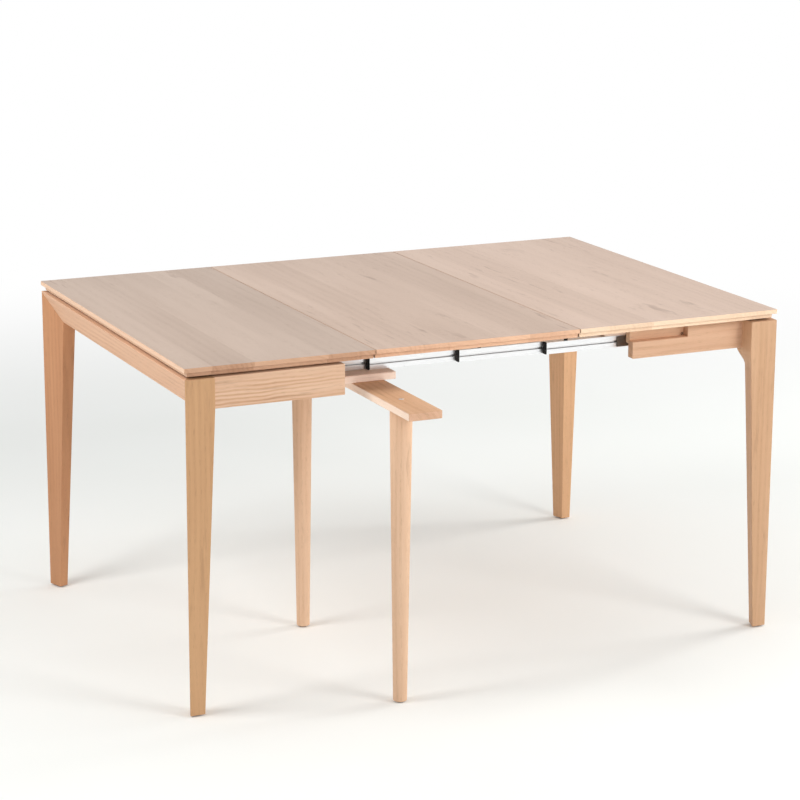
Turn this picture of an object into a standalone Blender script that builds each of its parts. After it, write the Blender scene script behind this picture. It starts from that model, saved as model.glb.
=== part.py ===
"""Extendable console table in oak: two end frames on telescopic aluminium rails, a lift-out leaf
and a pull-out support with two turned legs. Metres, +Z up, origin on the floor under the middle."""

import math

import bmesh
import bpy
from mathutils import Matrix, Vector

# Overall sizes
HEIGHT = 0.750
DEPTH = 0.974
LEFT_WIDTH = 0.425
LEAF_WIDTH = 0.485
RIGHT_WIDTH = 0.503
SEAM = 0.001

# Fits: the gap between seated pieces, and between sliding ones
SEAT = 0.0003
RUNNING = 0.0004

# Top panels: a full-size upper layer over a lower layer that is rebated all round
PANEL_THICKNESS = 0.020
PANEL_UPPER_LAYER = 0.010
PANEL_EDGE_REBATE = 0.0085
PANEL_SEAM_REBATE = 0.003
PANEL_EASE = 0.001
SHADOW_GAP = 0.004

# Legs: a four-sided section that tapers to the foot. The left legs are cut back on their end side, which the
# slanted end apron meets in a mitre, and the right legs on their inner side, up to a knee
LEG_HEAD_WIDTH = 0.066
LEG_FOOT_WIDTH = 0.034
LEG_FOOT_DEPTH = 0.031
LEFT_HEAD_DEPTH = 0.051
LEFT_HEAD_CUT = 0.033
LEFT_FOOT_CUT = 0.0135
LEFT_SIDE_SLANT = 1.2
RIGHT_HEAD_LAND = 0.002
RIGHT_HEAD_CUT = 0.022
RIGHT_FOOT_CUT = 0.0105
RIGHT_KNEE_HEIGHT = 0.046
LEG_CURVE_STEPS = 8
LEG_EASE = 0.0015

# Aprons
APRON_THICKNESS = 0.020
APRON_HEIGHT = 0.066
APRON_EASE = 0.001
LEFT_APRON_INSET = 0.002
LEFT_APRON_LENGTH = 0.290
RIGHT_APRON_INSET = 0.040
RIGHT_APRON_LENGTH = 0.283
NOTCH_LENGTH = 0.141
NOTCH_HEIGHT = 0.028
END_APRON_THICKNESS = 0.026
TENON_SHOULDER = 0.004
TENON_LENGTH = 0.024
HOUSING_CLEAR = 0.010

# Cleats that carry the top panels
CLEAT_THICKNESS = 0.0177
LEFT_CLEAT_HEIGHT = 0.030
RIGHT_CLEAT_HEIGHT = 0.040
CLEAT_SETBACK = 0.004

# Telescopic rails: extrusions side by side, each keyed into the next
RAIL_DROP = 0.0237
RAIL_HEIGHT = 0.026
RAIL_BODY = 0.0119
RAIL_GAP = 0.0006
RAIL_MOUTH = 0.005
RAIL_LIP = 0.0018
RAIL_CHAMBER_HEIGHT = 0.010
RAIL_CHAMBER_DEPTH = 0.0034
RAIL_LENGTH = 0.400
FIRST_CAP_PAST_SEAM = 0.034
LAST_CAP_BEFORE_SEAM = 0.039
STAGES = 4
CAP_THICKNESS = 0.0035
CAP_PROUD = 0.0008
CAP_EASE = 0.0006

# Studs on the rails that the leaf and the right panel lie on
STUD_FROM_CAP = 0.050
STUD_STEM_RADIUS = 0.0045
STUD_PAD_RADIUS = 0.009
STUD_PAD_HEIGHT = 0.006

# Wooden battens under the rails, hung from the left panel
BATTEN_BEFORE_RAIL = 0.0465
BATTEN_WIDTH = 0.085
BATTEN_THICKNESS = 0.016
BATTEN_FROM_LEG = 0.009
BATTEN_PAST_SEAM = 0.080
HANGER_LENGTH = 0.050
HANGER_WIDTH = 0.042
HANGER_BEFORE_RAIL = 0.0025
HANGER_FROM_END = 0.010
HANGER_SPACING = 0.215

# Fixings of the rails on the right frame
BLOCK_LENGTH = 0.240
BLOCK_WIDTH = 0.030
BLOCK_FROM_RAIL_END = 0.015
BRACKET_LENGTH = 0.070
BRACKET_THICKNESS = 0.0024
BRACKET_HEIGHT = 0.023
BRACKET_EASE = 0.0006
BRACKET_PAST_APRON = 0.018

# Pull-out support: a crossbar on two turned legs
CROSSBAR_LENGTH = 0.770
CROSSBAR_WIDTH = 0.075
CROSSBAR_THICKNESS = 0.017
CROSSBAR_EASE = 0.0012
CROSSBAR_PAST_SEAM = 0.0165
CROSSBAR_STAND_OUT = 0.210
SUPPORT_LEG_FROM_END = 0.119
SUPPORT_LEG_TOP_RADIUS = 0.024
SUPPORT_LEG_FOOT_RADIUS = 0.015
SUPPORT_LEG_EASE = 0.002
BOLT_HEAD_RADIUS = 0.0065
BOLT_HEAD_HEIGHT = 0.004
BOLT_SHANK_RADIUS = 0.004
BOLT_SOCKET_RADIUS = 0.0022
BOLT_SOCKET_DEPTH = 0.0025
BOLT_BITE = 0.040

# Glides under the feet
GLIDE_RADIUS = 0.009
GLIDE_THICKNESS = 0.0025
GLIDE_EASE = 0.0006
TURNED_STEPS = 28
SMALL_STEPS = 16

# Places worked out from the sizes above
LENGTH = LEFT_WIDTH + SEAM + LEAF_WIDTH + SEAM + RIGHT_WIDTH
X_LEFT = -LENGTH / 2
X_RIGHT = LENGTH / 2
X_LEAF = X_LEFT + LEFT_WIDTH + SEAM
X_RIGHT_TOP = X_LEAF + LEAF_WIDTH + SEAM
Y_FRONT = (CROSSBAR_STAND_OUT - DEPTH) / 2
Y_BACK = Y_FRONT + DEPTH
Z_UNDER_TOP = HEIGHT - PANEL_THICKNESS
Z_FRAME = Z_UNDER_TOP - SHADOW_GAP
Z_APRON = Z_FRAME - APRON_HEIGHT
Z_LEG = GLIDE_THICKNESS + SEAT
Z_CARRY = Z_UNDER_TOP - SEAT
Z_RAIL_TOP = Z_UNDER_TOP - RAIL_DROP
Z_RAIL = Z_RAIL_TOP - RAIL_HEIGHT
Z_BATTEN_TOP = Z_RAIL - SEAT
Z_BATTEN = Z_BATTEN_TOP - BATTEN_THICKNESS
Z_CROSSBAR_TOP = Z_BATTEN - SEAT
Z_CROSSBAR = Z_CROSSBAR_TOP - CROSSBAR_THICKNESS
Z_SUPPORT_LEG_TOP = Z_CROSSBAR - SEAT
X_FIRST_CAP = X_LEFT + LEFT_WIDTH + FIRST_CAP_PAST_SEAM
X_LAST_CAP = X_RIGHT_TOP - LAST_CAP_BEFORE_SEAM
X_BATTEN = X_LEFT + LEG_HEAD_WIDTH + BATTEN_FROM_LEG
X_CROSSBAR = X_LEFT + LEFT_WIDTH + CROSSBAR_PAST_SEAM
Y_CROSSBAR = Y_FRONT - CROSSBAR_STAND_OUT + CROSSBAR_LENGTH / 2
X_RIGHT_APRON_END = X_RIGHT - LEG_HEAD_WIDTH - RIGHT_APRON_LENGTH
RAIL_PITCH = RAIL_BODY + RAIL_GAP
RAIL_EXPOSED = (X_LAST_CAP - X_FIRST_CAP) / (STAGES - 2)
RIGHT_HEAD_DEPTH = RIGHT_APRON_INSET + APRON_THICKNESS + RIGHT_HEAD_LAND
RIGHT_CLEAT_INSET = RIGHT_APRON_INSET + APRON_THICKNESS + SEAT
BRACKET_INSET = RIGHT_CLEAT_INSET + CLEAT_THICKNESS + SEAT
RAIL_INSET = BRACKET_INSET + BRACKET_THICKNESS + SEAT
FIXED_RAIL_INSET = RAIL_INSET + (STAGES - 1) * RAIL_PITCH
SIDES = ("front", "back")
ENDS = ("left", "right")

# Colour, roughness and metallic value of each finish
FINISHES = {
    "oak": ((0.60, 0.38, 0.22), 0.50, 0.0),
    "pale_oak": ((0.66, 0.44, 0.28), 0.50, 0.0),
    "aluminium": ((0.82, 0.82, 0.83), 0.35, 1.0),
    "black_plastic": ((0.02, 0.02, 0.02), 0.45, 0.0),
    "dark_steel": ((0.16, 0.15, 0.14), 0.45, 1.0),
    "bright_steel": ((0.70, 0.69, 0.67), 0.30, 1.0),
    "grey_nylon": ((0.30, 0.29, 0.28), 0.60, 0.0),
}


def clear_scene():
    for old in list(bpy.data.objects):
        bpy.data.objects.remove(old, do_unlink=True)


def new_collection(name):
    collection = bpy.data.collections.new(name)
    bpy.context.scene.collection.children.link(collection)
    return collection


def finish_material(name, finish):
    colour, roughness, metallic = FINISHES[finish]
    made = bpy.data.materials.new(name)
    made.use_nodes = True
    shader = made.node_tree.nodes["Principled BSDF"]
    shader.inputs["Base Color"].default_value = (*colour, 1.0)
    shader.inputs["Roughness"].default_value = roughness
    shader.inputs["Metallic"].default_value = metallic
    return made


def add_body(name, place):
    """An empty on the body's joint axis, which carries the body's pieces."""
    empty = bpy.data.objects.new(name + "_origin", None)
    empty.location = place
    table.objects.link(empty)
    return empty


def add_piece(name, data, place, finish, body, turn=(0, 0, 0)):
    """A named sub-part at its place in the room, carried by its body."""
    piece = bpy.data.objects.new(name, data)
    piece.location = Vector(place) - body.location
    piece.rotation_euler = turn
    piece.parent = body
    data.materials.append(finish_material(name, finish))
    table.objects.link(piece)
    return piece


def add_cutter(name, data, place):
    cutter = bpy.data.objects.new(name, data)
    cutter.location = place
    cutter.hide_render = True
    cutter.display_type = "WIRE"
    cutters.objects.link(cutter)
    return cutter


def cut(piece, cutter):
    modifier = piece.modifiers.new("cut_" + cutter.name, "BOOLEAN")
    modifier.operation = "DIFFERENCE"
    modifier.object = cutter


def ease_edges(piece, width, segments=1, angle=30):
    modifier = piece.modifiers.new("eased_edges", "BEVEL")
    modifier.width = width
    modifier.segments = segments
    modifier.limit_method = "ANGLE"
    modifier.angle_limit = math.radians(angle)


def mesh_from(bm, name):
    bmesh.ops.recalc_face_normals(bm, faces=bm.faces)
    mesh = bpy.data.meshes.new(name)
    bm.to_mesh(mesh)
    bm.free()
    return mesh


def cuboid(low, high):
    """A box as a bmesh, centred on its own middle, with that middle."""
    size = Vector(high) - Vector(low)
    bm = bmesh.new()
    bmesh.ops.create_cube(bm, size=1.0, matrix=Matrix.Diagonal((*size, 1.0)))
    return bm, (Vector(low) + Vector(high)) / 2


def span(first, second):
    return min(first, second), max(first, second)


def from_side(side, inset):
    """Y at a distance in from the front or back edge of the top."""
    return Y_FRONT + inset if side == "front" else Y_BACK - inset


def from_end(end, inset):
    """X at a distance in from the left or right edge of the top."""
    return X_LEFT + inset if end == "left" else X_RIGHT - inset


def inward(side):
    return 1 if side == "front" else -1


def board(name, xs, ys, zs, finish, body, ease=APRON_EASE):
    """A squared board between two corners, with eased edges."""
    (x0, x1), (y0, y1), (z0, z1) = span(*xs), span(*ys), span(*zs)
    bm, middle = cuboid((x0, y0, z0), (x1, y1, z1))
    piece = add_piece(name, mesh_from(bm, name), middle, finish, body)
    ease_edges(piece, ease)
    return piece


def turned(name, profile, place, finish, body, steps):
    """A profile of (radius, height) points, from the axis down the outside, turned about Z."""
    piece = add_piece(name, profile_mesh(name, profile), place, finish, body)
    add_screw(piece, steps)
    return piece


def profile_mesh(name, profile):
    mesh = bpy.data.meshes.new(name)
    links = [(i, i + 1) for i in range(len(profile) - 1)]
    mesh.from_pydata([(r, 0.0, z) for r, z in profile], links, [])
    return mesh


def add_screw(piece, steps):
    screw = piece.modifiers.new("turned", "SCREW")
    screw.steps = steps
    screw.render_steps = steps
    screw.use_merge_vertices = True
    screw.merge_threshold = 0.00002
    screw.use_smooth_shade = True


def extrude_face(bm, face):
    """Extrudes a face in place and gives the new face, whose points can then be moved."""
    grown = bmesh.ops.extrude_face_region(bm, geom=[face])
    bmesh.ops.delete(bm, geom=[face], context="FACES_ONLY")
    return next(item for item in grown["geom"] if isinstance(item, bmesh.types.BMFace))


def top_panel(name, x0, x1, left_rebate, right_rebate, body):
    """A slab whose underside steps in by a rebate and then goes down as the lower layer."""
    z0 = HEIGHT - PANEL_UPPER_LAYER
    bm, middle = cuboid((x0, Y_FRONT, z0), (x1, Y_BACK, HEIGHT))
    underside = min(bm.faces, key=lambda face: face.calc_center_median().z)
    ledge = extrude_face(bm, underside)
    for vert in ledge.verts:
        vert.co.x += left_rebate if vert.co.x < 0 else -right_rebate
        vert.co.y -= math.copysign(PANEL_EDGE_REBATE, vert.co.y)
    lower = extrude_face(bm, ledge)
    down = Vector((0, 0, PANEL_UPPER_LAYER - PANEL_THICKNESS))
    bmesh.ops.translate(bm, verts=lower.verts[:], vec=down)
    piece = add_piece(name, mesh_from(bm, name), middle, "oak", body)
    ease_edges(piece, PANEL_EASE)


def blend(first, second, share):
    return first + (second - first) * share


def share_of(value, low, high):
    """How far a value lies on the way from low to high, from 0 to 1."""
    return min(max((value - low) / (high - low), 0.0), 1.0)


def leg_section(z, end):
    """Four corners (in from the end, in from the side) of a leg's section at a height.

    It grows evenly from the foot to the aprons' underside and stays the same from there to the top. A right
    leg's cut runs out in a smooth knee below the aprons.
    """
    shank = share_of(z, Z_LEG, Z_APRON)
    width = blend(LEG_FOOT_WIDTH, LEG_HEAD_WIDTH, shank)
    if end == "left":
        depth = blend(LEG_FOOT_DEPTH, LEFT_HEAD_DEPTH, shank)
        cut_in = blend(LEFT_FOOT_CUT, LEFT_HEAD_CUT, shank)
        return [(0, 0), (width, 0), (width, depth), (cut_in, depth * LEFT_SIDE_SLANT)]
    depth = blend(LEG_FOOT_DEPTH, RIGHT_HEAD_DEPTH, shank)
    run_out = share_of(z, Z_APRON - RIGHT_KNEE_HEIGHT, Z_APRON)
    cut_in = blend(RIGHT_FOOT_CUT, RIGHT_HEAD_CUT, shank) * (1 - run_out**2 * (3 - 2 * run_out))
    return [(0, 0), (width, 0), (width - cut_in, depth), (0, depth)]


def leg_heights(end):
    """Heights of the leg's sections, with steps through a right leg's knee."""
    steps = [i / LEG_CURVE_STEPS for i in range(LEG_CURVE_STEPS)]
    knee = [Z_APRON - RIGHT_KNEE_HEIGHT * (1 - step) for step in steps] if end == "right" else []
    return [Z_LEG, *knee, Z_APRON, Z_FRAME]


def loft(sections):
    """A closed skin through four-cornered sections, from the lowest up."""
    bm = bmesh.new()
    rings = [[bm.verts.new(corner) for corner in section] for section in sections]
    bm.faces.new(rings[0])
    bm.faces.new(rings[-1])
    for low, high in zip(rings, rings[1:]):
        for i in range(4):
            j = (i + 1) % 4
            bm.faces.new((low[i], low[j], high[j], high[i]))
    return bm


def leg_mesh(name, side, end):
    x_sign = 1 if end == "left" else -1
    y_sign = inward(side)
    sections = [
        [(x * x_sign, y * y_sign, z) for x, y in leg_section(z, end)] for z in leg_heights(end)
    ]
    return mesh_from(loft(sections), name)


def slanted_face(z):
    """How far in from the end the left end apron's outer face lies at a height."""
    return LEFT_HEAD_CUT * (Z_FRAME - z) / APRON_HEIGHT


def mitre_inset(z):
    """How far in from the side the mitre between a left leg and the left end apron lies at a height."""
    return LEFT_HEAD_DEPTH * LEFT_SIDE_SLANT * (Z_FRAME - z) / APRON_HEIGHT


def mortise(leg, label, low, high):
    """Cuts a tenon's seat into a leg. low and high are the tenon's own corners."""
    fit = Vector((SEAT, SEAT, SEAT))
    bm, middle = cuboid(Vector(low) - fit, Vector(high) + fit)
    cut(leg, add_cutter(leg.name + "_" + label, mesh_from(bm, label), middle))


def housing(leg, side):
    """Cuts the left end apron's mitred seat into a left leg's head."""
    sections = []
    for z in (Z_APRON - SEAT, Z_FRAME + HOUSING_CLEAR):
        xs = (-HOUSING_CLEAR, slanted_face(z) + END_APRON_THICKNESS + SEAT)
        y0 = (mitre_inset(z) - 2 * SEAT) * inward(side)
        y1 = (LEFT_HEAD_DEPTH * LEFT_SIDE_SLANT + HOUSING_CLEAR) * inward(side)
        sections.append([(xs[0], y0, z), (xs[1], y0, z), (xs[1], y1, z), (xs[0], y1, z)])
    corner = (X_LEFT, from_side(side, 0), 0)
    cut(leg, add_cutter(leg.name + "_housing", mesh_from(loft(sections), "housing"), corner))


def apron_inset(end):
    return LEFT_APRON_INSET if end == "left" else RIGHT_APRON_INSET


def apron_tenon(side, end):
    """Corners of the tenon that a front or back apron has in its leg."""
    xs = span(from_end(end, LEG_HEAD_WIDTH + SEAT), from_end(end, LEG_HEAD_WIDTH + SEAT - TENON_LENGTH))
    inset = apron_inset(end)
    near = from_side(side, inset + TENON_SHOULDER)
    far = from_side(side, inset + APRON_THICKNESS - TENON_SHOULDER)
    ys = span(near, far)
    zs = (Z_APRON + TENON_SHOULDER, Z_FRAME - TENON_SHOULDER)
    return tuple(zip(xs, ys, zs))


def end_tenon(side):
    """Corners of the tenon that the right end apron has in its leg."""
    xs = (X_RIGHT - END_APRON_THICKNESS + TENON_SHOULDER, X_RIGHT - TENON_SHOULDER)
    ys = span(
        from_side(side, RIGHT_HEAD_DEPTH + SEAT), from_side(side, RIGHT_HEAD_DEPTH + SEAT - TENON_LENGTH)
    )
    zs = (Z_APRON + TENON_SHOULDER, Z_FRAME - TENON_SHOULDER)
    return tuple(zip(xs, ys, zs))


def leg(side, end, body):
    name = f"{side}_{end}_leg"
    mesh = leg_mesh(name, side, end)
    corner = (from_end(end, 0), from_side(side, 0), 0)
    piece = add_piece(name, mesh, corner, "oak", body)
    ease_edges(piece, LEG_EASE, angle=40)
    mortise(piece, "apron_mortise", *apron_tenon(side, end))
    if end == "left":
        housing(piece, side)
    else:
        mortise(piece, "end_mortise", *end_tenon(side))


def tenoned_board(name, low, high, axis, ends, body):
    """A board with eased edges and a shouldered tenon on the named ends, -1 and 1, of one axis."""
    bm, middle = cuboid(low, high)
    bmesh.ops.bevel(bm, geom=bm.edges[:], offset=APRON_EASE, segments=1, affect="EDGES")
    for end in ends:
        out = Vector((0, 0, 0))
        out[axis] = end
        face = max(bm.faces, key=lambda f: (round(f.normal.dot(out), 3), f.calc_area()))
        inset = TENON_SHOULDER - APRON_EASE
        bmesh.ops.inset_individual(bm, faces=[face], thickness=inset, use_even_offset=True)
        tenon = extrude_face(bm, face)
        bmesh.ops.translate(bm, verts=tenon.verts[:], vec=out * TENON_LENGTH)
    return add_piece(name, mesh_from(bm, name), middle, "oak", body)


def side_apron(side, end, body):
    """A front or back apron. On the right one the upper corner next to the leaf is notched."""
    inset = apron_inset(end)
    length = LEFT_APRON_LENGTH if end == "left" else RIGHT_APRON_LENGTH
    xs = span(from_end(end, LEG_HEAD_WIDTH + SEAT), from_end(end, LEG_HEAD_WIDTH + length))
    ys = span(from_side(side, inset), from_side(side, inset + APRON_THICKNESS))
    low, high = zip(xs, ys, (Z_APRON, Z_FRAME))
    tenon_end = -1 if end == "left" else 1
    piece = tenoned_board(f"{side}_{end}_apron", low, high, 0, [tenon_end], body)
    if end == "right":
        past = APRON_THICKNESS
        bm, middle = cuboid(
            (xs[0] - past, ys[0] - past, Z_FRAME - NOTCH_HEIGHT),
            (xs[0] + NOTCH_LENGTH, ys[1] + past, Z_FRAME + past),
        )
        cut(piece, add_cutter(side + "_apron_notch", mesh_from(bm, "notch"), middle))


def left_end_apron(body):
    """A board that slants in towards its lower edge, with its long edges eased and its ends mitred."""
    sections = []
    for z in (Z_APRON, Z_FRAME):
        x0, x1 = slanted_face(z), slanted_face(z) + END_APRON_THICKNESS
        y0, y1 = mitre_inset(z), DEPTH - mitre_inset(z)
        sections.append([(x0, y0, z), (x1, y0, z), (x1, y1, z), (x0, y1, z)])
    bm = loft(sections)
    long_edges = [edge for edge in bm.edges if edge.calc_length() > DEPTH / 2]
    bmesh.ops.bevel(bm, geom=long_edges, offset=APRON_EASE, segments=1, affect="EDGES")
    add_piece("left_end_apron", mesh_from(bm, "left_end_apron"), (X_LEFT, Y_FRONT, 0), "oak", body)


def right_end_apron(body):
    xs = (X_RIGHT - END_APRON_THICKNESS, X_RIGHT)
    ys = (Y_FRONT + RIGHT_HEAD_DEPTH + SEAT, Y_BACK - RIGHT_HEAD_DEPTH - SEAT)
    low, high = zip(xs, ys, (Z_APRON, Z_FRAME))
    tenoned_board("right_end_apron", low, high, 1, [-1, 1], body)


def cleat(side, end, body):
    """A strip behind a side apron that stands above the frame and carries the top panel."""
    inset = apron_inset(end) + APRON_THICKNESS + SEAT
    length = LEFT_APRON_LENGTH if end == "left" else RIGHT_APRON_LENGTH
    height = LEFT_CLEAT_HEIGHT if end == "left" else RIGHT_CLEAT_HEIGHT
    xs = (
        from_end(end, LEG_HEAD_WIDTH + CLEAT_SETBACK),
        from_end(end, LEG_HEAD_WIDTH + length - CLEAT_SETBACK),
    )
    ys = (from_side(side, inset), from_side(side, inset + CLEAT_THICKNESS))
    board(f"{side}_{end}_cleat", xs, ys, (Z_CARRY - height, Z_CARRY), "pale_oak", body)


def rail_outline():
    """The extrusion's section: a slot in its outer face, and a key on its inner face for the next slot."""
    middle = RAIL_HEIGHT / 2
    mouth, chamber = RAIL_MOUTH / 2, RAIL_CHAMBER_HEIGHT / 2
    floor = RAIL_LIP + RAIL_CHAMBER_DEPTH
    neck, head = mouth - RUNNING, chamber - RUNNING
    neck_end = RAIL_PITCH + RAIL_LIP + RUNNING
    head_end = RAIL_PITCH + floor - RUNNING
    lower = [
        (0, 0),
        (RAIL_BODY, 0),
        (RAIL_BODY, middle - neck),
        (neck_end, middle - neck),
        (neck_end, middle - head),
        (head_end, middle - head),
    ]
    slot = [(floor, chamber), (RAIL_LIP, chamber), (RAIL_LIP, mouth), (0, mouth)]
    upper = [(across, RAIL_HEIGHT - up) for across, up in reversed(lower)]
    into = [(across, middle + up) for across, up in reversed(slot)]
    out = [(across, middle - up) for across, up in slot]
    return lower + upper + into + out


def rail_inset(stage):
    """How far in from the edge of the top a stage's outer face lies: the last stage is outermost."""
    return FIXED_RAIL_INSET - stage * RAIL_PITCH


def rail_span(stage):
    """Where a stage starts and ends. The fixed one starts where the batten does."""
    start = X_FIRST_CAP + (stage - 1) * RAIL_EXPOSED
    return start if stage else X_BATTEN, start + RAIL_LENGTH


def rail(side, stage, body):
    """One extrusion, drawn as a flat outline across the table and drawn out along X."""
    name = f"{side}_rail_stage_{stage}"
    x0, x1 = rail_span(stage)
    curve = bpy.data.curves.new(name, "CURVE")
    curve.dimensions = "2D"
    curve.fill_mode = "BOTH"
    curve.extrude = (x1 - x0) / 2
    spline = curve.splines.new("POLY")
    outline = rail_outline()
    spline.points.add(len(outline) - 1)
    for point, (across, up) in zip(spline.points, outline):
        point.co = (across * inward(side), up, 0, 1)
    spline.use_cyclic_u = True
    place = ((x0 + x1) / 2, from_side(side, rail_inset(stage)), Z_RAIL)
    add_piece(name, curve, place, "aluminium", body, turn=(math.pi / 2, 0, math.pi / 2))


def rail_cap(side, stage, body):
    """The black cap on the end of a moving extrusion, a little proud of its outer face."""
    start = rail_span(stage)[0] - SEAT
    inset = rail_inset(stage)
    ys = (from_side(side, inset - CAP_PROUD), from_side(side, inset + RAIL_BODY))
    zs = (Z_RAIL, Z_RAIL_TOP + CAP_PROUD)
    name = f"{side}_rail_cap_{stage}"
    board(name, (start - CAP_THICKNESS, start), ys, zs, "black_plastic", body, CAP_EASE)


def rail_stud(side, stage, body):
    """A stem on the rail with a wide pad under the panel."""
    height = Z_CARRY - Z_RAIL_TOP - SEAT
    profile = [
        (0, height),
        (STUD_PAD_RADIUS - CAP_EASE, height),
        (STUD_PAD_RADIUS, height - CAP_EASE),
        (STUD_PAD_RADIUS, height - STUD_PAD_HEIGHT / 2),
        (STUD_STEM_RADIUS, height - STUD_PAD_HEIGHT),
        (STUD_STEM_RADIUS, 0),
        (0, 0),
    ]
    x = rail_span(stage)[0] + STUD_FROM_CAP
    y = from_side(side, rail_inset(stage) + RAIL_BODY / 2)
    place = (x, y, Z_RAIL_TOP + SEAT)
    turned(f"{side}_rail_stud_{stage}", profile, place, "black_plastic", body, SMALL_STEPS)


def batten(side, body):
    """The board that the fixed rail lies on and that rests on the support's crossbar."""
    xs = (X_BATTEN, X_LEFT + LEFT_WIDTH + BATTEN_PAST_SEAM)
    inset = FIXED_RAIL_INSET - BATTEN_BEFORE_RAIL
    ys = (from_side(side, inset), from_side(side, inset + BATTEN_WIDTH))
    board(f"{side}_rail_batten", xs, ys, (Z_BATTEN, Z_BATTEN_TOP), "pale_oak", body)


def batten_hangers(side, body):
    """Blocks that hang the batten from the left panel, beside the fixed rail."""
    inset = FIXED_RAIL_INSET - HANGER_BEFORE_RAIL
    ys = (from_side(side, inset - HANGER_WIDTH), from_side(side, inset))
    for count, place in enumerate(("outer", "inner")):
        start = X_BATTEN + HANGER_FROM_END + count * HANGER_SPACING
        xs = (start, start + HANGER_LENGTH)
        board(f"{side}_batten_hanger_{place}", xs, ys, (Z_RAIL, Z_CARRY), "pale_oak", body)


def rail_block(side, body):
    """The packing block between the last extrusion and the right panel."""
    end = rail_span(STAGES - 1)[1] - BLOCK_FROM_RAIL_END
    ys = (from_side(side, RAIL_INSET), from_side(side, RAIL_INSET + BLOCK_WIDTH))
    zs = (Z_RAIL_TOP + SEAT, Z_CARRY)
    board(f"{side}_rail_block", (end - BLOCK_LENGTH, end), ys, zs, "pale_oak", body)


def rail_bracket(side, body):
    """The dark bracket that ties the last extrusion to the right cleat."""
    start = X_RIGHT_APRON_END - BRACKET_PAST_APRON
    ys = (from_side(side, BRACKET_INSET), from_side(side, BRACKET_INSET + BRACKET_THICKNESS))
    low = Z_RAIL + (RAIL_HEIGHT - BRACKET_HEIGHT) / 2
    zs = (low, low + BRACKET_HEIGHT)
    name = f"{side}_rail_bracket"
    board(name, (start, start + BRACKET_LENGTH), ys, zs, "dark_steel", body, BRACKET_EASE)


def support_leg_place(side):
    offset = CROSSBAR_LENGTH / 2 - SUPPORT_LEG_FROM_END
    return X_CROSSBAR, Y_CROSSBAR - inward(side) * offset


def crossbar(body):
    """The bar under the battens, counterbored for the bolts of its two legs."""
    half_width, half_length = CROSSBAR_WIDTH / 2, CROSSBAR_LENGTH / 2
    xs = (X_CROSSBAR - half_width, X_CROSSBAR + half_width)
    ys = (Y_CROSSBAR - half_length, Y_CROSSBAR + half_length)
    zs = (Z_CROSSBAR, Z_CROSSBAR_TOP)
    piece = board("support_crossbar", xs, ys, zs, "oak", body, CROSSBAR_EASE)
    past = CROSSBAR_THICKNESS
    seat = CROSSBAR_THICKNESS - BOLT_HEAD_HEIGHT - 2 * SEAT
    profile = [
        (0, CROSSBAR_THICKNESS + past),
        (BOLT_HEAD_RADIUS + SEAT, CROSSBAR_THICKNESS + past),
        (BOLT_HEAD_RADIUS + SEAT, seat),
        (BOLT_SHANK_RADIUS + SEAT, seat),
        (BOLT_SHANK_RADIUS + SEAT, -past),
        (0, -past),
    ]
    for side in SIDES:
        x, y = support_leg_place(side)
        cutter = add_cutter(side + "_bolt_hole", profile_mesh("bolt_hole", profile), (x, y, Z_CROSSBAR))
        add_screw(cutter, TURNED_STEPS)
        cut(piece, cutter)


def support_leg(side, body):
    """A tapered turned leg, bored from the top for its bolt."""
    x, y = support_leg_place(side)
    height = Z_SUPPORT_LEG_TOP - Z_LEG
    bore = BOLT_SHANK_RADIUS + SEAT
    bore_floor = height - BOLT_BITE - 2 * SEAT
    foot, ease = SUPPORT_LEG_FOOT_RADIUS, SUPPORT_LEG_EASE
    profile = [
        (0, bore_floor),
        (bore, bore_floor),
        (bore, height),
        (SUPPORT_LEG_TOP_RADIUS, height),
        (foot, ease),
        (foot - ease, 0),
        (0, 0),
    ]
    turned(f"{side}_support_leg", profile, (x, y, Z_LEG), "oak", body, TURNED_STEPS)


def support_bolt(side, body):
    """A socket-head bolt, sunk in the crossbar and biting into the leg."""
    x, y = support_leg_place(side)
    top = Z_CROSSBAR_TOP - SEAT
    shank = CROSSBAR_THICKNESS + BOLT_BITE
    profile = [
        (0, -BOLT_SOCKET_DEPTH),
        (BOLT_SOCKET_RADIUS, -BOLT_SOCKET_DEPTH),
        (BOLT_SOCKET_RADIUS, 0),
        (BOLT_HEAD_RADIUS, 0),
        (BOLT_HEAD_RADIUS, -BOLT_HEAD_HEIGHT),
        (BOLT_SHANK_RADIUS, -BOLT_HEAD_HEIGHT),
        (BOLT_SHANK_RADIUS, -shank),
        (0, -shank),
    ]
    turned(f"{side}_support_bolt", profile, (x, y, top), "bright_steel", body, SMALL_STEPS)


def glide(name, x, y, body):
    """A round pad under a foot."""
    profile = [
        (0, GLIDE_THICKNESS),
        (GLIDE_RADIUS, GLIDE_THICKNESS),
        (GLIDE_RADIUS, GLIDE_EASE),
        (GLIDE_RADIUS - GLIDE_EASE, 0),
        (0, 0),
    ]
    turned(name, profile, (x, y, 0), "grey_nylon", body, SMALL_STEPS)


def leg_glide(side, end, body):
    """A glide under the middle of a leg's foot."""
    corners = leg_section(Z_LEG, end)
    x = sum(corner[0] for corner in corners) / len(corners)
    y = sum(corner[1] for corner in corners) / len(corners)
    glide(f"{side}_{end}_glide", from_end(end, x), from_side(side, y), body)


def end_frame(end, body):
    if end == "left":
        left_end_apron(body)
    else:
        right_end_apron(body)
    for side in SIDES:
        leg(side, end, body)
        side_apron(side, end, body)
        cleat(side, end, body)
        leg_glide(side, end, body)


def rails(bodies):
    for stage, body in enumerate(bodies):
        for side in SIDES:
            rail(side, stage, body)
            if stage:
                rail_cap(side, stage, body)
                rail_stud(side, stage, body)


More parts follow.
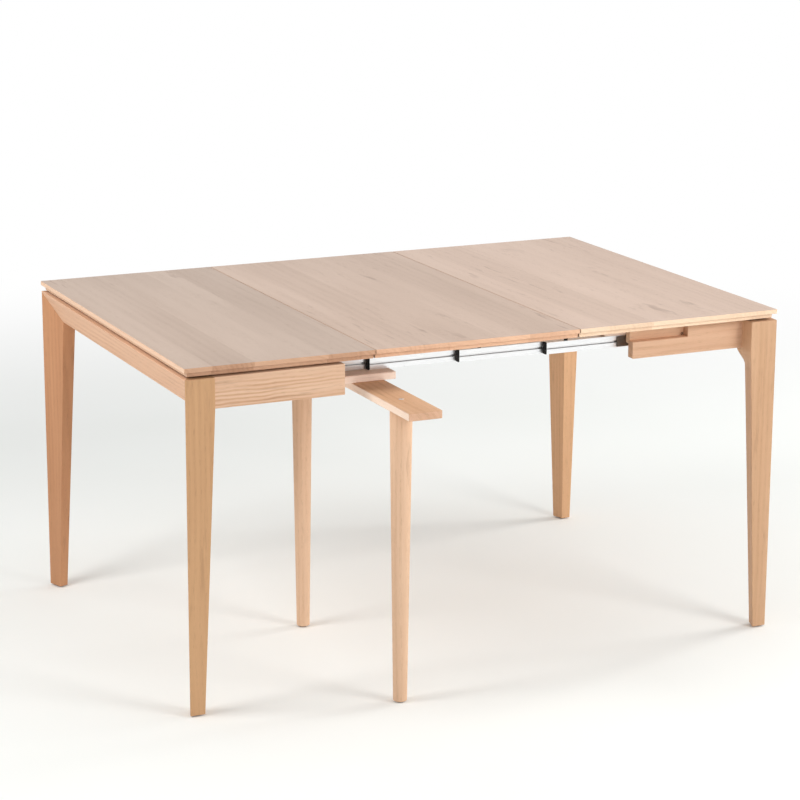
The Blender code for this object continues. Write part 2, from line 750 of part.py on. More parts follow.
def build():
    left = add_body("left_frame", (X_LEFT, 0, 0))
    first = add_body("first_stage", (rail_span(1)[0], 0, Z_RAIL))
    second = add_body("second_stage", (rail_span(2)[0], 0, Z_RAIL))
    right = add_body("right_frame", (rail_span(3)[0], 0, Z_RAIL))
    leaf = add_body("leaf", (X_LEAF + LEAF_WIDTH / 2, (Y_FRONT + Y_BACK) / 2, Z_UNDER_TOP))
    support = add_body("support", (X_CROSSBAR, Y_CROSSBAR, Z_CROSSBAR))
    edge, seam = PANEL_EDGE_REBATE, PANEL_SEAM_REBATE
    top_panel("left_top", X_LEFT, X_LEFT + LEFT_WIDTH, edge, seam, left)
    top_panel("middle_leaf", X_LEAF, X_LEAF + LEAF_WIDTH, seam, seam, leaf)
    top_panel("right_top", X_RIGHT_TOP, X_RIGHT, seam, edge, right)
    end_frame("left", left)
    end_frame("right", right)
    rails((left, first, second, right))
    crossbar(support)
    for side in SIDES:
        batten(side, left)
        batten_hangers(side, left)
        rail_block(side, right)
        rail_bracket(side, right)
        support_leg(side, support)
        support_bolt(side, support)
        glide(f"{side}_support_glide", *support_leg_place(side), support)


clear_scene()
table = new_collection("extendable_console_table")
cutters = new_collection("cutters")
cutters.hide_render = True
build()
bpy.context.view_layer.update()
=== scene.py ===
"""Finishes, fine pieces and studio light of an extendable oak table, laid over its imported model."""

import math

import bpy
import numpy as np
from mathutils import Matrix, Vector


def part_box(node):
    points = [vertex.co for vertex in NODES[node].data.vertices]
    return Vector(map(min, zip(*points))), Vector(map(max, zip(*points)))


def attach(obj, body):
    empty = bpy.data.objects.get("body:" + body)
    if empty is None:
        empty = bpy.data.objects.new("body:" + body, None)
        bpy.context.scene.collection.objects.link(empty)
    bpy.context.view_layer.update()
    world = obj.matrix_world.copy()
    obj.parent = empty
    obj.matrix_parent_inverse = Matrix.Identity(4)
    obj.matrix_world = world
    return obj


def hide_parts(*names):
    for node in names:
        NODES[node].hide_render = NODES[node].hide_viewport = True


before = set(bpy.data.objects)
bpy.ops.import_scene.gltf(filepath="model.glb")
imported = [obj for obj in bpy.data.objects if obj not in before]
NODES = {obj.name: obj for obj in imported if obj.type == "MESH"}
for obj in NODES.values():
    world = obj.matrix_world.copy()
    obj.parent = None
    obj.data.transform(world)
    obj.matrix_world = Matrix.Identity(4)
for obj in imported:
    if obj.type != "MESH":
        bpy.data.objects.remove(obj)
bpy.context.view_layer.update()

SIDES = ("front", "back")
ENDS = ("left", "right")
STAGE_BODIES = ("left_frame", "first_stage", "second_stage", "right_frame")
STAGES = len(STAGE_BODIES)

# Top panels, in metres: two layers, the lower one set back from each edge. A face belongs to the edge, and
# takes the edges' painted light and shade, where the upward part of its normal is no more than EDGE_STARTS
PANEL_UPPER_LAYER = 0.010
PANEL_EDGE_REBATE = 0.0085
PANEL_SEAM_REBATE = 0.001
PANEL_ROUND = 0.0012
PANEL_CORNER = 0.0016
EDGE_STARTS = 0.85

# Corner legs: widths are in from the table's end, depths in from its side, and a cut slants one face
LEG_HEAD_WIDTH = 0.066
LEG_FOOT_WIDTH = 0.034
LEG_FOOT_DEPTH = 0.031
LEFT_HEAD_DEPTH = 0.051
LEFT_HEAD_CUT = 0.033
LEFT_FOOT_CUT = 0.0135
LEFT_SIDE_SLANT = 1.2
RIGHT_HEAD_DEPTH = 0.062
RIGHT_HEAD_CUT = 0.022
RIGHT_FOOT_CUT = 0.0105
RIGHT_KNEE_HEIGHT = 0.046
LEG_ROUND = 0.0016
LEG_KNEE_RINGS = 24

# Aprons: JOINT_REACH is how far a board runs under a leg's edge, and MITRE_SINK is how far the mitred one
# lies below the leg heads
BOARD_ROUND = 0.0010
END_APRON_THICKNESS = 0.026
NOTCH_LENGTH = 0.141
NOTCH_HEIGHT = 0.028
APRON_FREE_ROUND = 0.003
JOINT_REACH = 0.0015
MITRE_SINK = 0.0003

# Turned pieces: support legs, rail studs, glides and bolts
SUPPORT_LEG_TOP_RADIUS = 0.024
SUPPORT_LEG_FOOT_RADIUS = 0.015
SUPPORT_LEG_ROUND = 0.002
STUD_STEM_RADIUS = 0.0045
STUD_PAD_RADIUS = 0.009
STUD_PAD_HEIGHT = 0.006
STUD_ROUND = 0.0006
GLIDE_RADIUS = 0.009
GLIDE_ROUND = 0.0007
BOLT_HEAD_RADIUS = 0.0065
BOLT_HEAD_HEIGHT = 0.004
BOLT_SHANK_RADIUS = 0.004
BOLT_ROUND = 0.0006
BOLT_DOME = 0.0020
BOLT_KEY_FLAT = 0.0021
BOLT_KEY_DEPTH = 0.0024
TURNED_STEPS = 72
SMALL_STEPS = 48
ROUND_STEPS = 5

# Countersunk screws that hold the cleats to the top, and smaller ones in the notches, whose dark steel is
# painted shade for the notches' inner corners
SCREW_RADIUS = 0.0042
SCREW_PROUD = 0.00015
SCREW_SUNK = 0.0030
SCREW_CROSS_REACH = 0.0026
SCREW_CROSS_WIDTH = 0.00055
SCREW_CROSS_DEPTH = 0.0016
SCREW_STEPS = 32
SCREW_RINGS = 12
SCREW_FACE = (0.04, 0.96)
SCREW_TIP = 0.3
SCREWS_PER_CLEAT = 3
SCREW_FROM_CLEAT_END = 0.030
NOTCH_SCREW_INSET = 0.0034
NOTCH_SCREW_SIZE = 0.7

# Camera: its place, its turn in radians and its focal length in pixels of the picture
CAMERA_PLACE = (-2.4287, -5.1189, 1.9573)
CAMERA_YAW = 0.4352
CAMERA_PITCH = 0.2477
CAMERA_ROLL = 0.0038
FOCAL_PIXELS = 2557.9
PICTURE_PIXELS = 800
SENSOR = 36.0
CAMERA_REACH = 100.0

# Studio: paper that fades to white between two distances, and a sky that is brighter on the right
WHITE = (1, 1, 1, 1)
PAPER = ((247, 248, 244), (251, 252, 249))
PAPER_CLOUDS = (2.2, 2.2, 2.2)
PAPER_ROUGHNESS = 0.9
FLOOR_INNER_RADII = (0.01, 0.3)
FLOOR_RADIUS = 26.0
FLOOR_RINGS = 24
FLOOR_STEPS = 96
FLOOR_FADE = (1.5, 4.2)
FLOOR_LIFT = 0.06
SKY_COLOUR = (252, 254, 255)
SKY_STRENGTH = 0.57
SKY_SLOPE = 0.20

# Lamps: place, size in metres and power in watts. They light the table but don't show in its reflections
LAMPS = {
    "front_right": ((1.75, -3.05, 2.15), 1.3, 46),
    "left": ((-2.20, -0.10, 2.30), 1.0, 33),
    "right": ((4.60, 0.20, 2.80), 1.6, 95),
}
LAMP_AIM = (0.0, 0.1, 0.45)


def srgb(red, green, blue):
    """A colour as it looks on a screen, 0 to 255, turned into the light values that shaders take."""
    share = np.array([red, green, blue]) / 255.0
    light = np.where(share <= 0.04045, share / 12.92, ((share + 0.055) / 1.055) ** 2.4)
    return (*light.tolist(), 1.0)


# Surfaces


def ring_faces(rows, columns):
    """Quads between each ring and the next on a grid that closes on itself along its columns."""
    index = np.arange(rows * columns).reshape(rows, columns)
    beside = np.roll(index, -1, axis=1)
    return np.stack([index[:-1], beside[:-1], beside[1:], index[1:]], axis=-1).reshape(-1, 4)


def skin(rings):
    """Points and faces of a closed skin through stacked rings, flat at both ends.

    The rings run counter-clockwise seen from above, and follow one another upwards.
    """
    rows, columns = rings.shape[:2]
    last = (rows - 1) * columns
    faces = ring_faces(rows, columns).tolist()
    faces.append(list(range(columns))[::-1])
    faces.append(list(range(last, last + columns)))
    return rings.reshape(-1, 3), faces


def join(skins):
    """Several skins as one list of points and faces."""
    points, faces, start = [], [], 0
    for some_points, some_faces in skins:
        faces += [[corner + start for corner in face] for face in some_faces]
        points.append(some_points)
        start += len(some_points)
    return np.concatenate(points), faces


def piece(name, shape, finish, body, slot, replaces=(), sharp=35):
    """An object at the origin made of points and faces, riding on a body, with its rounded edges smooth."""
    points, faces = shape
    mesh = bpy.data.meshes.new(name)
    mesh.from_pydata(points.tolist(), [], faces)
    mesh.shade_smooth()
    mesh.set_sharp_from_angle(angle=math.radians(sharp))
    mesh.materials.append(finish)
    made = bpy.data.objects.new(name, mesh)
    bpy.context.scene.collection.objects.link(made)
    weigh = made.modifiers.new("flat_faces_stay_flat", "WEIGHTED_NORMAL")
    weigh.keep_sharp = True
    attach(made, body)
    if replaces:
        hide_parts(*replaces)
    return made


def quarter(radius):
    """A quarter round from flat to upright: how far it lies inside, and how high it has climbed.

    Over a quarter turn, these are the radius less its sine and the radius less its cosine.
    """
    turn = np.linspace(0, math.pi / 2, ROUND_STEPS + 1)
    return radius * (1 - np.sin(turn)), radius * (1 - np.cos(turn))


def rounded_rectangles(x0, x1, y0, y1, radius, height):
    """One rectangle with round corners per height: each corner is a quarter circle about its own centre."""
    turn = np.linspace(0, math.pi / 2, ROUND_STEPS + 1)
    angle = (np.arange(4)[:, None] * math.pi / 2 + turn)[None]
    middle_x = np.stack([x1 - radius, x0 + radius, x0 + radius, x1 - radius], axis=1)[..., None]
    middle_y = np.stack([y1 - radius, y1 - radius, y0 + radius, y0 + radius], axis=1)[..., None]
    x = (middle_x + radius[:, None, None] * np.cos(angle)).reshape(len(height), -1)
    y = (middle_y + radius[:, None, None] * np.sin(angle)).reshape(len(height), -1)
    return np.stack([x, y, np.broadcast_to(height[:, None], x.shape)], axis=-1)


def stepped_panel(low, high, left_rebate, right_rebate):
    """A panel's outline, from below: up the lower layer, out under the upper one, and over its round edges.

    Each point of the outline is a share of the rebate plus the inside of a quarter round, and each side of
    the panel has its own rebate.
    """
    inside, climb = quarter(PANEL_ROUND)
    step = high.z - PANEL_UPPER_LAYER
    rounding = np.concatenate([inside, [0.0], inside, inside[::-1]])
    share = np.concatenate([np.ones(len(inside) + 1), np.zeros(2 * len(inside))])
    height = np.concatenate([low.z + climb, [step], step + climb, high.z - climb[::-1]])
    sides = rounding + share * PANEL_EDGE_REBATE
    x0 = low.x + rounding + share * left_rebate
    x1 = high.x - rounding - share * right_rebate
    return rounded_rectangles(x0, x1, low.y + sides, high.y - sides, PANEL_CORNER - rounding, height)


def blend(first, second, share):
    """The value that lies a share of the way from the first to the second."""
    return first + (second - first) * share


def leg_sections(z, end, foot, knee):
    """Four corners (in from the end, in from the side) of a corner leg at each height.

    All sizes grow evenly from the foot to the aprons' underside and stay the same above it. A left leg is
    cut back on its end side. A right leg is cut back on its inner side, and a smoothstep brings that cut
    to nothing below the aprons.
    """
    shank = np.clip((z - foot) / (knee - foot), 0, 1)
    width = blend(LEG_FOOT_WIDTH, LEG_HEAD_WIDTH, shank)
    none = np.zeros_like(z)
    if end == "left":
        depth = blend(LEG_FOOT_DEPTH, LEFT_HEAD_DEPTH, shank)
        cut = blend(LEFT_FOOT_CUT, LEFT_HEAD_CUT, shank)
        corners = [(none, none), (width, none), (width, depth), (cut, depth * LEFT_SIDE_SLANT)]
    else:
        depth = blend(LEG_FOOT_DEPTH, RIGHT_HEAD_DEPTH, shank)
        turn = np.clip(1 - (knee - z) / RIGHT_KNEE_HEIGHT, 0, 1)
        cut = blend(RIGHT_FOOT_CUT, RIGHT_HEAD_CUT, shank) * (1 - turn**2 * (3 - 2 * turn))
        corners = [(none, none), (width, none), (width - cut, depth), (none, depth)]
    return np.stack([np.stack(corner, axis=-1) for corner in corners], axis=1)


def rounded_sections(corners, radius, inset):
    """Outlines with every side moved in by inset and every corner an arc that touches both its sides.

    An outline runs counter-clockwise. A hollow corner moves the other way when its sides move in.
    """
    back = np.roll(corners, 1, axis=1) - corners
    ahead = np.roll(corners, -1, axis=1) - corners
    back /= np.linalg.norm(back, axis=-1, keepdims=True)
    ahead /= np.linalg.norm(ahead, axis=-1, keepdims=True)
    angle = np.arccos((back * ahead).sum(-1, keepdims=True))
    side = np.sign(ahead[..., :1] * back[..., 1:] - ahead[..., 1:] * back[..., :1])
    tip = corners + side * (back + ahead) * inset[:, None, None] / np.sin(angle)
    radius = np.broadcast_to(radius, corners.shape[1])[:, None]
    middle = tip + (back + ahead) * radius / np.sin(angle)
    reach = radius / np.tan(angle / 2)
    first, last = tip + back * reach - middle, tip + ahead * reach - middle
    sweep = (math.pi - angle)[..., None, :]
    share = np.linspace(0, 1, ROUND_STEPS + 1)[:, None]
    arc = np.sin((1 - share) * sweep) * first[:, :, None] + np.sin(share * sweep) * last[:, :, None]
    return (middle[:, :, None] + arc / np.sin(sweep)).reshape(len(corners), -1, 2)


def corner_leg(side, end):
    """A leg from its eased foot up an even taper, through the knee if it has one, to its eased head."""
    low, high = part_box(f"{side}_{end}_leg")
    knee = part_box(f"{side}_{end}_apron")[0].z
    inside, climb = quarter(LEG_ROUND)
    bend = np.array([knee])
    if end == "right":
        bend = knee - RIGHT_KNEE_HEIGHT * np.linspace(1, 0, LEG_KNEE_RINGS)
    z = np.concatenate([low.z + climb, bend, high.z - climb[::-1]])
    inset = np.concatenate([inside, np.zeros(len(bend)), inside[::-1]])
    sections = rounded_sections(leg_sections(z, end, low.z, knee), LEG_ROUND, inset)
    x = low.x + sections[..., 0] if end == "left" else high.x - sections[..., 0]
    y = low.y + sections[..., 1] if side == "front" else high.y - sections[..., 1]
    rings = np.stack([x, y, np.broadcast_to(z[:, None], x.shape)], axis=-1)
    mirrored = (end == "left") != (side == "front")
    return rings[:, ::-1] if mirrored else rings


def eased_board(outline, start, stop, axes, radius=BOARD_ROUND):
    """A board: its outline swept from start to stop, with a quarter round along both faces' edges.

    axes says which of x, y and z the outline's two values and the sweep stand for.
    """
    inside, climb = quarter(BOARD_ROUND)
    level = np.concatenate([start + climb, stop - climb[::-1]])
    inset = np.concatenate([inside, inside[::-1]])
    corners = np.broadcast_to(np.array(outline, float), (len(level), len(outline), 2))
    section = rounded_sections(corners, radius, inset)
    rings = np.empty((*section.shape[:2], 3))
    rings[..., axes[0]] = section[..., 0]
    rings[..., axes[1]] = section[..., 1]
    rings[..., axes[2]] = level[:, None]
    return rings


def side_apron(side, end):
    """A side apron: its outline swept through its thickness, running a little way under its leg's edge.

    A right one has a notch in its upper free corner and a larger round on its lower one.
    """
    low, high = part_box(f"{side}_{end}_apron")
    start, stop = low.x, high.x
    leg_low, leg_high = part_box(f"{side}_{end}_leg")
    if end == "left":
        start = leg_high.x - JOINT_REACH
    else:
        stop = leg_low.x + JOINT_REACH
    outline = [(low.z, start), (high.z, start), (high.z, stop), (low.z, stop)]
    radius = BOARD_ROUND
    if end == "right":
        shelf, step = high.z - NOTCH_HEIGHT, start + NOTCH_LENGTH
        outline[1:2] = [(shelf, start), (shelf, step), (high.z, step)]
        radius = np.array([APRON_FREE_ROUND] + [BOARD_ROUND] * (len(outline) - 1))
    return eased_board(outline, low.y, high.y, (2, 0, 1), radius)


def right_end_apron():
    """An upright board that runs a little way under the rounded edges of its legs."""
    low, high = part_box("right_end_apron")
    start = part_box("front_right_leg")[1].y - JOINT_REACH
    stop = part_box("back_right_leg")[0].y + JOINT_REACH
    outline = [(start, low.z), (stop, low.z), (stop, high.z), (start, high.z)]
    return eased_board(outline, low.x, high.x, (1, 2, 0))


def left_end_apron():
    """A slanted board with mitred ends: its section, set back evenly towards the lower edge, swept along Y.

    The sweep's ends follow the mitre, so a point starts further in from the side the lower it lies. The
    board's top lies a hair below the leg heads, which it runs into.
    """
    low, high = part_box("left_end_apron")
    top = high.z - MITRE_SINK
    reach = LEFT_HEAD_DEPTH * LEFT_SIDE_SLANT
    outline = [(low.z, low.x + LEFT_HEAD_CUT), (top, low.x), (top, low.x + END_APRON_THICKNESS),
               (low.z, low.x + LEFT_HEAD_CUT + END_APRON_THICKNESS)]
    section = rounded_sections(np.array([outline]), BOARD_ROUND, np.zeros(1))[0]
    mitre = reach * (top - section[:, 0]) / (top - low.z)
    ends = np.stack([low.y + mitre, high.y - mitre])
    x, z = np.broadcast_to(section[:, 1], ends.shape), np.broadcast_to(section[:, 0], ends.shape)
    return np.stack([x, ends, z], axis=-1)


def turned(profile, middle, steps=TURNED_STEPS):
    """A turned shape: each (radius, height) of its profile, from below upwards, runs round the middle."""
    radius, height = np.array(profile).T
    angle = np.linspace(0, 2 * math.pi, steps, endpoint=False)
    x = middle[0] + radius[:, None] * np.cos(angle)
    y = middle[1] + radius[:, None] * np.sin(angle)
    return np.stack([x, y, np.broadcast_to(height[:, None], x.shape)], axis=-1)


def middle_of(node):
    """The middle of a node's box."""
    low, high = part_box(node)
    return (low + high) / 2


def eased_foot(radius, height, ease):
    """The lower end of a turned profile: a flat face, then a quarter round out to the full radius."""
    inside, climb = quarter(ease)
    return list(zip(radius - inside, height + climb))


def eased_head(radius, height, ease):
    """The upper end of a turned profile: a quarter round in to a flat face."""
    inside, climb = quarter(ease)
    return list(zip((radius - inside)[::-1], (height - climb)[::-1]))


def support_leg(node):
    """A slim cone with eased ends: its radius grows evenly from the foot up to the crossbar."""
    low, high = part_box(node)
    profile = eased_foot(SUPPORT_LEG_FOOT_RADIUS, low.z, SUPPORT_LEG_ROUND)
    profile += eased_head(SUPPORT_LEG_TOP_RADIUS, high.z, STUD_ROUND)
    return turned(profile, middle_of(node))


def rail_stud(node):
    """A straight stem that widens in a short cone to the pad under the leaf."""
    low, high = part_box(node)
    profile = eased_foot(STUD_STEM_RADIUS, low.z, STUD_ROUND)
    profile += [(STUD_STEM_RADIUS, high.z - STUD_PAD_HEIGHT)]
    profile += [(STUD_PAD_RADIUS, high.z - STUD_PAD_HEIGHT / 2)]
    profile += eased_head(STUD_PAD_RADIUS, high.z, STUD_ROUND)
    return turned(profile, middle_of(node), SMALL_STEPS)


def glide(node):
    """A low disc with round edges under a foot."""
    low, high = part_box(node)
    profile = eased_foot(GLIDE_RADIUS, low.z, GLIDE_ROUND) + eased_head(GLIDE_RADIUS, high.z, GLIDE_ROUND)
    return turned(profile, middle_of(node), SMALL_STEPS)


def bolt(node):
    """A shank and a domed head with a six-sided key hole.

    The hole's radius is that of its flats over the cosine of the turn from the nearest flat's middle.
    """
    low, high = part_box(node)
    shoulder = high.z - BOLT_HEAD_HEIGHT
    profile = eased_foot(BOLT_SHANK_RADIUS, low.z, BOLT_ROUND) + [(BOLT_SHANK_RADIUS, shoulder)]
    profile += [(BOLT_HEAD_RADIUS, shoulder)] + eased_head(BOLT_HEAD_RADIUS, high.z, BOLT_DOME)
    body = turned(profile, (0, 0), SMALL_STEPS)
    angle = np.linspace(0, 2 * math.pi, SMALL_STEPS, endpoint=False)
    side = math.pi / 3
    radius = BOLT_KEY_FLAT / np.cos((angle % side) - side / 2)
    key = np.stack([radius * np.cos(angle), radius * np.sin(angle)], axis=-1)
    levels = np.array([high.z, high.z - BOLT_KEY_DEPTH])
    hole = np.stack([np.column_stack([key, np.full(len(key), z)]) for z in levels])
    rings = np.concatenate([body, hole])
    middle = middle_of(node)
    return rings + np.array([middle.x, middle.y, 0.0])


def screw_head(point, out, across, size=1.0):
    """A flat screw head with a cross cut, on a polar grid about the axis that points out of the wood.

    The cross is as deep as the falling exponential of the fourth power of the way out from its nearer arm,
    times 1 less the sixth power of the way out from the middle. The rim runs back into the wood as a cone.
    """
    share = np.concatenate([np.linspace(*SCREW_FACE, SCREW_RINGS), [1.0]])
    angle = np.linspace(0, 2 * math.pi, SCREW_STEPS, endpoint=False)
    u = SCREW_RADIUS * share[:, None] * np.cos(angle)
    v = SCREW_RADIUS * share[:, None] * np.sin(angle)
    near = np.minimum(np.abs(u), np.abs(v)) / SCREW_CROSS_WIDTH
    far = np.hypot(u, v) / SCREW_CROSS_REACH
    cross = np.exp(-(near**4)) * np.clip(1 - far**6, 0, 1)
    lift = SCREW_PROUD - SCREW_CROSS_DEPTH * cross
    tip = SCREW_RADIUS * SCREW_TIP
    u = np.concatenate([tip * np.cos(angle)[None], u[::-1]])
    v = np.concatenate([tip * np.sin(angle)[None], v[::-1]])
    lift = np.concatenate([np.full((1, SCREW_STEPS), -SCREW_SUNK), lift[::-1]])
    out, across = np.array(out, float), np.array(across, float)
    along = np.cross(out, across)
    rings = u[..., None] * across + v[..., None] * along + lift[..., None] * out
    return skin(rings * size + np.array(point))


# Shader building


def add(tree, kind, inputs=None, **settings):
    """A node with its settings and inputs. An input that is another node's output becomes a link."""
    made = tree.nodes.new(kind)
    for key, value in settings.items():
        setattr(made, key, value)
    for key, value in (inputs or {}).items():
        if isinstance(value, bpy.types.NodeSocket):
            tree.links.new(value, made.inputs[key])
        else:
            made.inputs[key].default_value = value
    return made


def maths(tree, operation, first, second=0.0, third=0.0, clamp=False):
    """The result of one sum on up to three values."""
    inputs = {0: first, 1: second, 2: third}
    return add(tree, "ShaderNodeMath", inputs, operation=operation, use_clamp=clamp).outputs[0]


def scaled(tree, vector, scale):
    """A vector times a scale for each axis."""
    inputs = {0: vector, 1: scale}
    return add(tree, "ShaderNodeVectorMath", inputs, operation="MULTIPLY").outputs[0]


def noise(tree, vector, scale, detail=2.0, roughness=0.5):
    """Cloudy values, 0 to 1, with so many clouds to a metre along each axis."""
    inputs = {"Vector": scaled(tree, vector, scale), "Scale": 1.0, "Detail": detail, "Roughness": roughness}
    return add(tree, "ShaderNodeTexNoise", inputs).outputs["Fac"]


def remap(tree, value, low, high, to_low=0.0, to_high=1.0):
    """A smooth step from to_low at low to to_high at high."""
    inputs = {"Value": value, "From Min": low, "From Max": high, "To Min": to_low, "To Max": to_high}
    return add(tree, "ShaderNodeMapRange", inputs, interpolation_type="SMOOTHSTEP").outputs[0]


def tint(tree, share, first, second, mode="MIX"):
    """A colour between two others, or the second laid over the first by another mode."""
    inputs = {0: share, 6: first, 7: second}
    return add(tree, "ShaderNodeMix", inputs, data_type="RGBA", blend_type=mode).outputs[2]


def new_group(name, inputs, outputs):
    """An empty node group with its sockets: the tree, what it is given and what it gives."""
    tree = bpy.data.node_groups.new(name, "ShaderNodeTree")
    for label, kind, value in inputs:
        socket = tree.interface.new_socket(label, in_out="INPUT", socket_type="NodeSocket" + kind)
        socket.default_value = value
    for label, kind in outputs:
        tree.interface.new_socket(label, in_out="OUTPUT", socket_type="NodeSocket" + kind)
    return tree, tree.nodes.new("NodeGroupInput").outputs, tree.nodes.new("NodeGroupOutput").inputs


def give(tree, result, values):
    """Links values to a group's outputs by their labels."""
    for label, value in values.items():
        tree.links.new(value, result[label])


# Wood: how many clouds to a metre across, along and across the grain
DRIFT_CLOUDS = (8, 1.3, 8)
WAVER_CLOUDS = (24, 11, 24)
BAND_CLOUDS = (34, 1.5, 34)
FIBRE_CLOUDS = (380, 7, 380)
TONE_CLOUDS = (4, 1.2, 4)
BREAK_CLOUDS = (26, 3, 26)
TRACE_CLOUDS = (80, 5.5, 80)
CLUSTER_CLOUDS = (6, 1.8, 6)
PORE_CLOUDS = (1900, 48, 1900)

# Wood: where rings, breaks in them, traces, their clusters and pores start and are full
RING_EDGE = (-0.6, 1.0)
BREAK_EDGE = (0.35, 0.65)
TRACE_EDGE = (0.57, 0.70)
CLUSTER_EDGE = (0.42, 0.58)
PORE_EDGE = (0.60, 0.72)

# Wood: slant of the rings by stave, drift of the grain in metres, jump in the rings from stave to stave
SLANT_SPREAD = 1.1
SLANT_LEAST = 0.25
DRIFT_REACH = 0.03
STAVE_TURNS = 17.3

# Wood: the tone where nothing shifts it, and how far clouds, pores and end grain shift tone and roughness
MIDDLE_TONE = 0.62
CLOUD_TONE = 0.7
PORE_IN_RING = 0.6
PORE_ELSEWHERE = 0.25
PORE_TONE = 0.45
END_TONE = 0.25
TONE_ROUGHNESS = -0.08
PORE_ROUGHNESS = 0.20
END_ROUGHNESS = 0.12
FIBRE_HEIGHT = 0.5


def wood_figure_group():
    """Solid oak with its grain along Y: slanting growth rings, bands, dark traces, pores and end grain."""
    tree, given, result = new_group(
        "wood_figure",
        [
            ("Place", "Vector", (0, 0, 0)),
            ("Stave", "Float", 0.5),
            ("End", "Float", 0.0),
            ("Ring Pitch", "Float", 0.010),
            ("Waver", "Float", 0.003),
            ("Figure", "Float", 0.3),
            ("Band", "Float", 0.8),
            ("Fibre", "Float", 0.5),
            ("Trace", "Float", 0.2),
            ("Stave Spread", "Float", 0.0),
            ("Base Roughness", "Float", 0.62),
            ("Pale", "Color", (0.7, 0.5, 0.3, 1)),
            ("Deep", "Color", (0.5, 0.3, 0.2, 1)),
            ("Pore", "Color", (0.3, 0.18, 0.1, 1)),
        ],
        [("Color", "Color"), ("Roughness", "Float"), ("Height", "Float")],
    )
    place = given["Place"]
    stave = given["Stave"]
    apart = add(tree, "ShaderNodeSeparateXYZ", {0: place}).outputs
    slant = maths(tree, "MULTIPLY_ADD", stave, SLANT_SPREAD, SLANT_LEAST)
    across = maths(tree, "MULTIPLY", apart[0], maths(tree, "COSINE", slant))
    across = maths(tree, "MULTIPLY_ADD", apart[2], maths(tree, "SINE", slant), across)
    drift = maths(tree, "SUBTRACT", noise(tree, place, DRIFT_CLOUDS, 2), 0.5)
    waver = maths(tree, "SUBTRACT", noise(tree, place, WAVER_CLOUDS, 2), 0.5)
    across = maths(tree, "MULTIPLY_ADD", drift, DRIFT_REACH, across)
    across = maths(tree, "MULTIPLY_ADD", waver, given["Waver"], across)
    turns = maths(tree, "DIVIDE", across, given["Ring Pitch"])
    turns = maths(tree, "MULTIPLY_ADD", stave, STAVE_TURNS, turns)
    wave = maths(tree, "SINE", maths(tree, "MULTIPLY", turns, 2 * math.pi))
    ring = remap(tree, wave, *RING_EDGE)
    bent = add(tree, "ShaderNodeCombineXYZ", {0: across, 1: apart[1], 2: apart[2]}).outputs[0]
    band = maths(tree, "SUBTRACT", noise(tree, bent, BAND_CLOUDS, 3, 0.5), 0.5)
    fibre = maths(tree, "SUBTRACT", noise(tree, bent, FIBRE_CLOUDS, 2, 0.6), 0.5)
    cloud = maths(tree, "SUBTRACT", noise(tree, place, TONE_CLOUDS, 1), 0.5)
    broken = remap(tree, noise(tree, place, BREAK_CLOUDS, 2), *BREAK_EDGE)
    line = maths(tree, "MULTIPLY", maths(tree, "MULTIPLY", ring, broken), given["Figure"])
    tone = maths(tree, "MULTIPLY_ADD", band, given["Band"], MIDDLE_TONE)
    tone = maths(tree, "MULTIPLY_ADD", fibre, given["Fibre"], tone)
    tone = maths(tree, "MULTIPLY_ADD", cloud, CLOUD_TONE, tone)
    tone = maths(tree, "SUBTRACT", tone, line)
    shift = maths(tree, "SUBTRACT", stave, 0.5)
    tone = maths(tree, "MULTIPLY_ADD", shift, given["Stave Spread"], tone, clamp=True)
    trace = remap(tree, noise(tree, bent, TRACE_CLOUDS, 3, 0.68), *TRACE_EDGE)
    cluster = remap(tree, noise(tree, place, CLUSTER_CLOUDS, 2), *CLUSTER_EDGE)
    trace = maths(tree, "MULTIPLY", maths(tree, "MULTIPLY", trace, cluster), given["Trace"])
    speck = remap(tree, noise(tree, place, PORE_CLOUDS, 1), *PORE_EDGE)
    pores = maths(tree, "MULTIPLY_ADD", ring, PORE_IN_RING, PORE_ELSEWHERE)
    pores = maths(tree, "MULTIPLY", speck, pores)
    colour = tint(tree, tone, given["Deep"], given["Pale"])
    colour = tint(tree, trace, colour, given["Pore"])
    colour = tint(tree, maths(tree, "MULTIPLY", pores, PORE_TONE), colour, given["Pore"])
    colour = tint(tree, maths(tree, "MULTIPLY", given["End"], END_TONE), colour, given["Pore"])
    rough = maths(tree, "MULTIPLY_ADD", tone, TONE_ROUGHNESS, given["Base Roughness"])
    rough = maths(tree, "MULTIPLY_ADD", pores, PORE_ROUGHNESS, rough)
    rough = maths(tree, "MULTIPLY_ADD", given["End"], END_ROUGHNESS, rough)
    height = maths(tree, "MULTIPLY", pores, -1.0)
    height = maths(tree, "MULTIPLY_ADD", fibre, FIBRE_HEIGHT, height)
    give(tree, result, {"Color": colour, "Roughness": rough, "Height": height})
    return tree


# Metal and plastic: how many clouds to a metre along each axis, and what they do to tone and roughness
SCRATCH_CLOUDS = (9, 2600, 2600)
SCRATCH_TONE = 0.5
SCRATCH_ROUGHNESS = 0.08
SMUDGE_CLOUDS = (14, 60, 60)
SMUDGE_TONE = 0.5
SMUDGE_ROUGHNESS = 0.14
PEBBLE_CLOUDS = (1400, 1400, 1400)
PATCH_CLOUDS = (90, 90, 90)
PATCH_ROUGHNESS = 0.22
DUST_EDGE = (0.22, 0.42)


